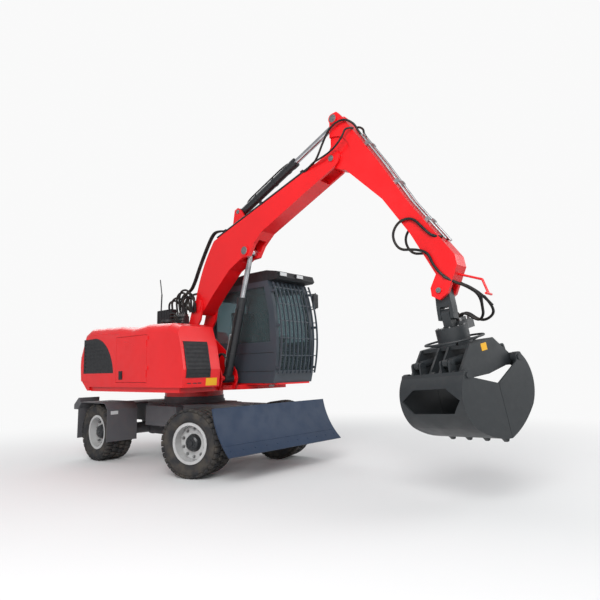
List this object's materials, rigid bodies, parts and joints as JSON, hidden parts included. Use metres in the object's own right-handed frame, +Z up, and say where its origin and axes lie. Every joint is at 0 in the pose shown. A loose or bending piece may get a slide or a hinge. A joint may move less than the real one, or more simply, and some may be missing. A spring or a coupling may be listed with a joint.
{
  "type": "wheeled excavator with clamshell grab",
  "caption": "Wheeled excavator with a dozer blade, guarded cab, slewing upper body, cranked boom and stick, and a hanging clamshell grab for loading loose material.",
  "frame": {"origin": "middle of the footprint of the whole machine, on the ground", "axes": "+X forwards, the way the blade and the boom point; +Y to the left of the driver; +Z up"},
  "size_m": [7.9602, 2.7166, 5.26],
  "materials": {
    "red_paint": "gloss",
    "dark_paint": "satin",
    "blade_paint": "satin",
    "grab_paint": "satin",
    "cab_paint": "satin",
    "rim_paint": "satin",
    "tyre": "matte",
    "glass": "clear",
    "chrome": "polished",
    "black_paint": "satin",
    "black_plastic": "matte",
    "pipe_steel": "brushed",
    "seat_fabric": "woven"
  },
  "bodies": {
    "chassis": {"chassis_frame": "dark_paint", "slew_ring": "dark_paint", "tool_boxes": "dark_paint", "front_axle": "dark_paint", "rear_axle": "dark_paint", "mudguards": "dark_paint"},
    "knuckle_right": {"knuckle_right": "dark_paint"},
    "knuckle_left": {"knuckle_left": "dark_paint"},
    "blade": {"blade": "blade_paint"},
    "blade_barrels": {"blade_cylinder_barrels": "black_paint"},
    "blade_rods": {"blade_cylinder_rods": "chrome"},
    "upper": {"upper_frame": "red_paint", "engine_hood": "red_paint", "hood_grilles": "black_plastic", "counterweight": "red_paint", "engine_block": "dark_paint", "deck_hydraulics": "black_paint", "exhaust_cap": "black_paint", "cab_body": "cab_paint", "cab_glass": "glass", "windscreen": "glass", "cab_roof": "black_plastic", "work_lamps": "black_plastic", "front_guard": "cab_paint", "cab_seat": "seat_fabric", "cab_controls": "black_plastic", "cab_foot": "red_paint", "front_grille": "black_plastic", "side_cover": "red_paint"},
    "engine_door": {"engine_door": "red_paint"},
    "cab_door": {"cab_door": "cab_paint", "door_glass": "glass"},
    "boom": {"boom": "red_paint", "boom_pipes": "black_paint"},
    "stick": {"stick": "red_paint", "stick_pipes": "pipe_steel"},
    "lift_barrel": {"lift_cylinder_barrel": "black_paint"},
    "lift_rod": {"lift_cylinder_rod": "chrome"},
    "stick_barrel": {"stick_cylinder_barrel": "black_paint"},
    "stick_rod": {"stick_cylinder_rod": "chrome"},
    "link": {"grab_link": "grab_paint"},
    "rotator": {"rotator": "grab_paint"},
    "grab": {"grab_frame": "grab_paint"},
    "shell_left": {"shell_left": "grab_paint"},
    "shell_right": {"shell_right": "grab_paint"},
    "closer_barrels": {"grab_cylinder_barrels": "grab_paint"},
    "closer_rods": {"grab_cylinder_rods": "chrome"},
    "wheel_front_right": {"rim_front_right": "rim_paint", "tyre_front_right": "tyre"},
    "wheel_front_left": {"rim_front_left": "rim_paint", "tyre_front_left": "tyre"},
    "wheel_rear_right": {"rim_rear_right": "rim_paint", "tyre_rear_right": "tyre"},
    "wheel_rear_left": {"rim_rear_left": "rim_paint", "tyre_rear_left": "tyre"}
  },
  "joints": [
    {"name": "steer_right", "type": "hinge", "parent": "chassis", "child": "knuckle_right", "pos_m": [-0.5671, -0.8, 0.505], "axis": [0, 0, 1], "range_deg": [-47.3, 12.7]},
    {"name": "steer_left", "type": "hinge", "parent": "chassis", "child": "knuckle_left", "pos_m": [-0.5671, 0.8, 0.505], "axis": [0, 0, 1], "range_deg": [-47.3, 12.7]},
    {"name": "spin_front_right", "type": "hinge", "parent": "knuckle_right", "child": "wheel_front_right", "pos_m": [-0.5671, -0.8, 0.505], "axis": [-0.2974, 0.9548, 0], "continuous": true},
    {"name": "spin_rear_right", "type": "hinge", "parent": "chassis", "child": "wheel_rear_right", "pos_m": [-3.2331, 0, 0.505], "axis": [0, 1, 0], "continuous": true},
    {"name": "spin_front_left", "type": "hinge", "parent": "knuckle_left", "child": "wheel_front_left", "pos_m": [-0.5671, 0.8, 0.505], "axis": [-0.2974, 0.9548, 0], "continuous": true},
    {"name": "spin_rear_left", "type": "hinge", "parent": "chassis", "child": "wheel_rear_left", "pos_m": [-3.2331, 0, 0.505], "axis": [0, 1, 0], "continuous": true},
    {"name": "slew", "type": "hinge", "parent": "chassis", "child": "upper", "pos_m": [-1.9001, 0, 1.13], "axis": [0, 0, 1], "continuous": true},
    {"name": "blade_lift", "type": "hinge", "parent": "chassis", "child": "blade", "pos_m": [-0.2601, 0, 0.61], "axis": [0, 1, 0], "range_deg": [-6, 40]},
    {"name": "blade_barrel_turn", "type": "hinge", "parent": "chassis", "child": "blade_barrels", "pos_m": [-0.4001, 0, 0.93], "axis": [0, 1, 0], "range_deg": [-4.7, 24.5]},
    {"name": "blade_rod_slide", "type": "slide", "parent": "blade_barrels", "child": "blade_rods", "axis": [0.9252, 0, -0.3796], "range_m": [-0.0246, 0.1353]},
    {"name": "boom_lift", "type": "hinge", "parent": "upper", "child": "boom", "pos_m": [-1.3801, -0.15, 2.7], "axis": [0, -1, 0], "range_deg": [-36, 30]},
    {"name": "lift_barrel_turn", "type": "hinge", "parent": "upper", "child": "lift_barrel", "pos_m": [-0.7901, -0.15, 1.44], "axis": [0, -1, 0], "range_deg": [-20.1, 17]},
    {"name": "lift_rod_slide", "type": "slide", "parent": "lift_barrel", "child": "lift_rod", "axis": [0.2844, 0, 0.9587], "range_m": [-0.6036, 0.5038]},
    {"name": "stick_swing", "type": "hinge", "parent": "boom", "child": "stick", "pos_m": [1.6899, -0.15, 4.57], "axis": [0, 1, 0], "range_deg": [-70, 33]},
    {"name": "stick_barrel_turn", "type": "hinge", "parent": "boom", "child": "stick_barrel", "pos_m": [-0.3801, -0.15, 4.25], "axis": [0, 1, 0], "range_deg": [-1.4, 1.7]},
    {"name": "stick_rod_slide", "type": "slide", "parent": "stick_barrel", "child": "stick_rod", "axis": [0.9167, 0, 0.3997], "range_m": [-0.6615, 0.3145]},
    {"name": "link_swing", "type": "hinge", "parent": "stick", "child": "link", "pos_m": [3.2299, -0.15, 2.46], "axis": [0, -1, 0], "range_deg": [-61.3, 48.7]},
    {"name": "cross_swing", "type": "hinge", "parent": "link", "child": "rotator", "pos_m": [3.26172, -0.15, 2.17175], "axis": [0.994, 0, 0.1097], "range_deg": [-35.3, 14.7]},
    {"name": "grab_turn", "type": "hinge", "parent": "rotator", "child": "grab", "pos_m": [3.29738, -0.09094, 1.84874], "axis": [-0.108, -0.1788, 0.9779], "continuous": true},
    {"name": "shell_left_open", "type": "hinge", "parent": "grab", "child": "shell_left", "pos_m": [3.21482, -0.48819, 1.43497], "axis": [-0.9635, 0.2613, -0.0586], "range_deg": [0, 40]},
    {"name": "shell_right_open", "type": "hinge", "parent": "grab", "child": "shell_right", "pos_m": [3.45006, 0.42242, 1.62743], "axis": [-0.9635, 0.2613, -0.0586], "range_deg": [-40, 0]},
    {"name": "closer_turn", "type": "hinge", "parent": "shell_left", "child": "closer_barrels", "pos_m": [3.20162, -0.50463, 1.57877], "axis": [-0.9635, 0.2613, -0.0586], "range_deg": [-41, 1]},
    {"name": "closer_slide", "type": "slide", "parent": "closer_barrels", "child": "closer_rods", "axis": [0.245, 0.9486, 0.2005], "range_m": [-0.1867, 0.005]},
    {"name": "engine_door_swing", "type": "hinge", "parent": "upper", "child": "engine_door", "pos_m": [-1.6181, -1.203, 1.8], "axis": [0, 0, 1], "range_deg": [0, 100]},
    {"name": "cab_door_swing", "type": "hinge", "parent": "upper", "child": "cab_door", "pos_m": [-0.9301, 1.174, 2.2], "axis": [0, 0, 1], "range_deg": [0, 110]}
  ],
  "couplings": [
    {"joint": "steer_left", "follows": "steer_right", "ratio": 1},
    {"joint": "blade_barrel_turn", "follows": "blade_lift", "ratio": 0.58441},
    {"joint": "blade_rod_slide", "follows": "blade_lift", "m_per_rad": 0.1867},
    {"joint": "lift_barrel_turn", "follows": "boom_lift", "ratio": 0.52707},
    {"joint": "lift_rod_slide", "follows": "boom_lift", "m_per_rad": 0.95262},
    {"joint": "stick_barrel_turn", "follows": "stick_swing", "ratio": -0.00861},
    {"joint": "stick_rod_slide", "follows": "stick_swing", "m_per_rad": 0.53734},
    {"joint": "shell_right_open", "follows": "shell_left_open", "ratio": -1},
    {"joint": "closer_turn", "follows": "shell_left_open", "ratio": -1},
    {"joint": "closer_slide", "follows": "shell_left_open", "m_per_rad": -0.26031}
  ]
}
